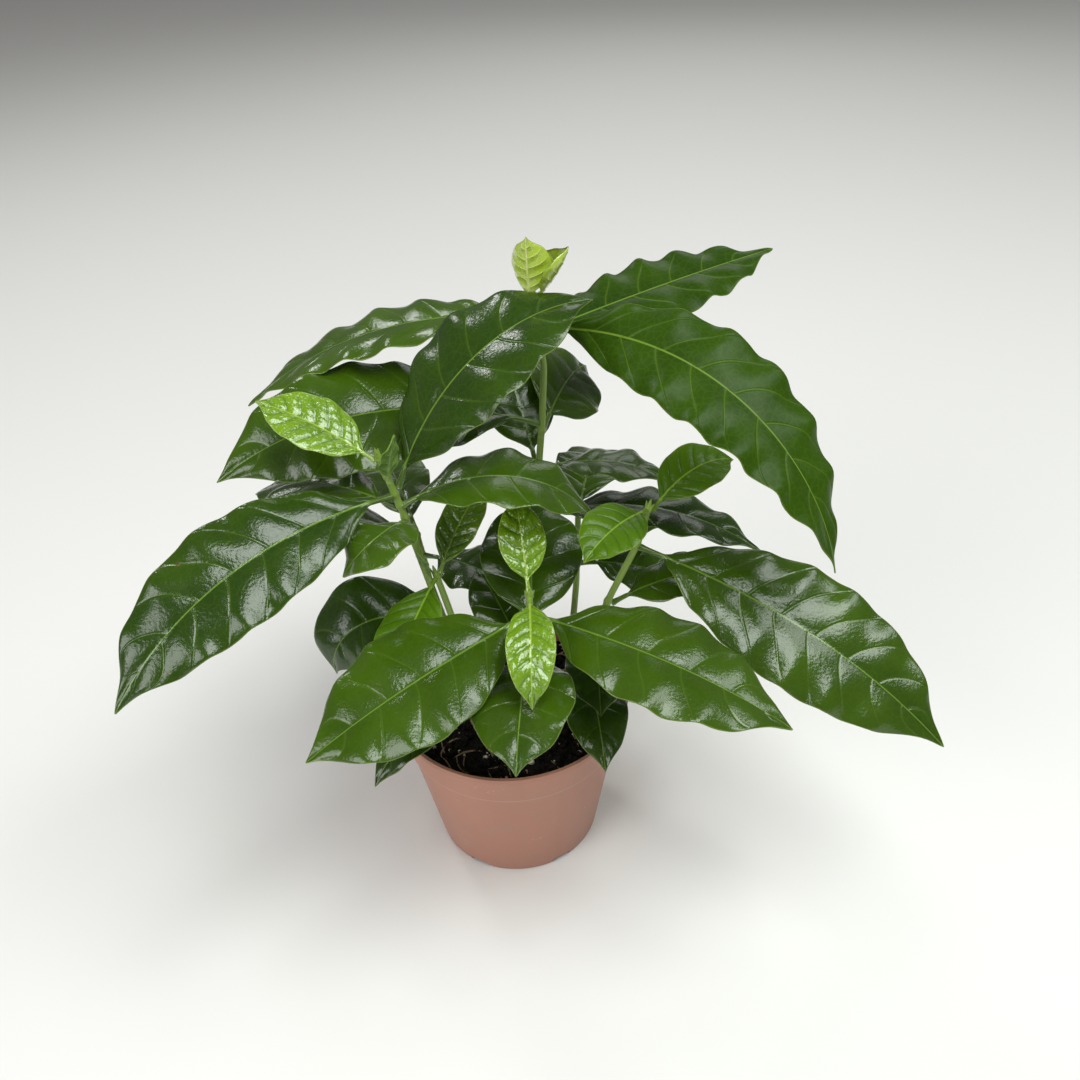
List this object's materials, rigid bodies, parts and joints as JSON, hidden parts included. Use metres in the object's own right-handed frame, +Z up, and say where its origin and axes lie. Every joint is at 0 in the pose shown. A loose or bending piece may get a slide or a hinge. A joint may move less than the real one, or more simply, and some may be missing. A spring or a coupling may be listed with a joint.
{
  "type": "potted coffee plant",
  "caption": "House plant: young coffee plants with glossy waved leaves in opposite pairs, standing in soil in a tapered round plastic nursery pot.",
  "frame": {"origin": "centre of the pot's flat underside, on the surface that the pot stands on", "axes": "+Z up; -Y toward the viewer of the picture; +X to the viewer's right"},
  "size_m": [0.3388, 0.2407, 0.3109],
  "materials": {
    "pot": "smooth matte terracotta brown with faint scuffs",
    "soil": "dark damp peat with fibres and perlite",
    "stem": "smooth green bark, browner near the soil",
    "leaf": "glossy leathery dark green with paler veins and underside",
    "young_leaf": "very glossy quilted yellow-green"
  },
  "bodies": {
    "root": {"pot": "pot", "soil": "soil", "stem_tall": "stem", "stem_left": "stem", "stem_left_small": "stem", "stem_front": "stem", "stem_right": "stem", "stem_back": "stem", "stem_back_left": "stem", "leaf_tall_1_right": "leaf", "leaf_tall_1_left": "leaf", "leaf_tall_2_back": "leaf", "leaf_tall_3_left": "leaf", "leaf_tall_3_right": "leaf", "leaf_tall_5_back": "leaf", "leaf_tall_4_right": "leaf", "leaf_tall_4_left": "leaf", "leaf_tall_6_right": "leaf", "leaf_left_1_right": "leaf", "leaf_left_1_left": "leaf", "leaf_left_2_right": "leaf", "leaf_left_2_left": "leaf", "leaf_left_4_left": "leaf", "leaf_left_5_left": "leaf", "leaf_left_3_left": "leaf", "leaf_front_1_left": "leaf", "leaf_front_1_right": "leaf", "leaf_front_2_back": "leaf", "leaf_front_2_front": "leaf", "leaf_front_3_back": "leaf", "leaf_left_small_1_left": "leaf", "leaf_right_1_right": "leaf", "leaf_right_2_right": "leaf", "leaf_right_3_front": "leaf", "leaf_right_4_front": "leaf", "leaf_right_4_right": "leaf", "leaf_back_1_back": "leaf", "leaf_back_2_right": "leaf", "leaf_back_3_right": "leaf", "leaf_back_left_1_back": "leaf", "leaf_back_left_1_left": "leaf", "leaf_back_left_2_right": "leaf", "young_left_left": "young_leaf", "young_left_right": "young_leaf", "young_left_small_right": "young_leaf", "young_left_small_tip": "young_leaf", "young_left_small_left": "young_leaf", "young_front_back": "young_leaf", "young_front_front": "young_leaf", "young_right_left": "young_leaf", "young_right_right": "young_leaf", "young_tall_front": "young_leaf", "young_tall_back": "young_leaf"}
  },
  "joints": []
}
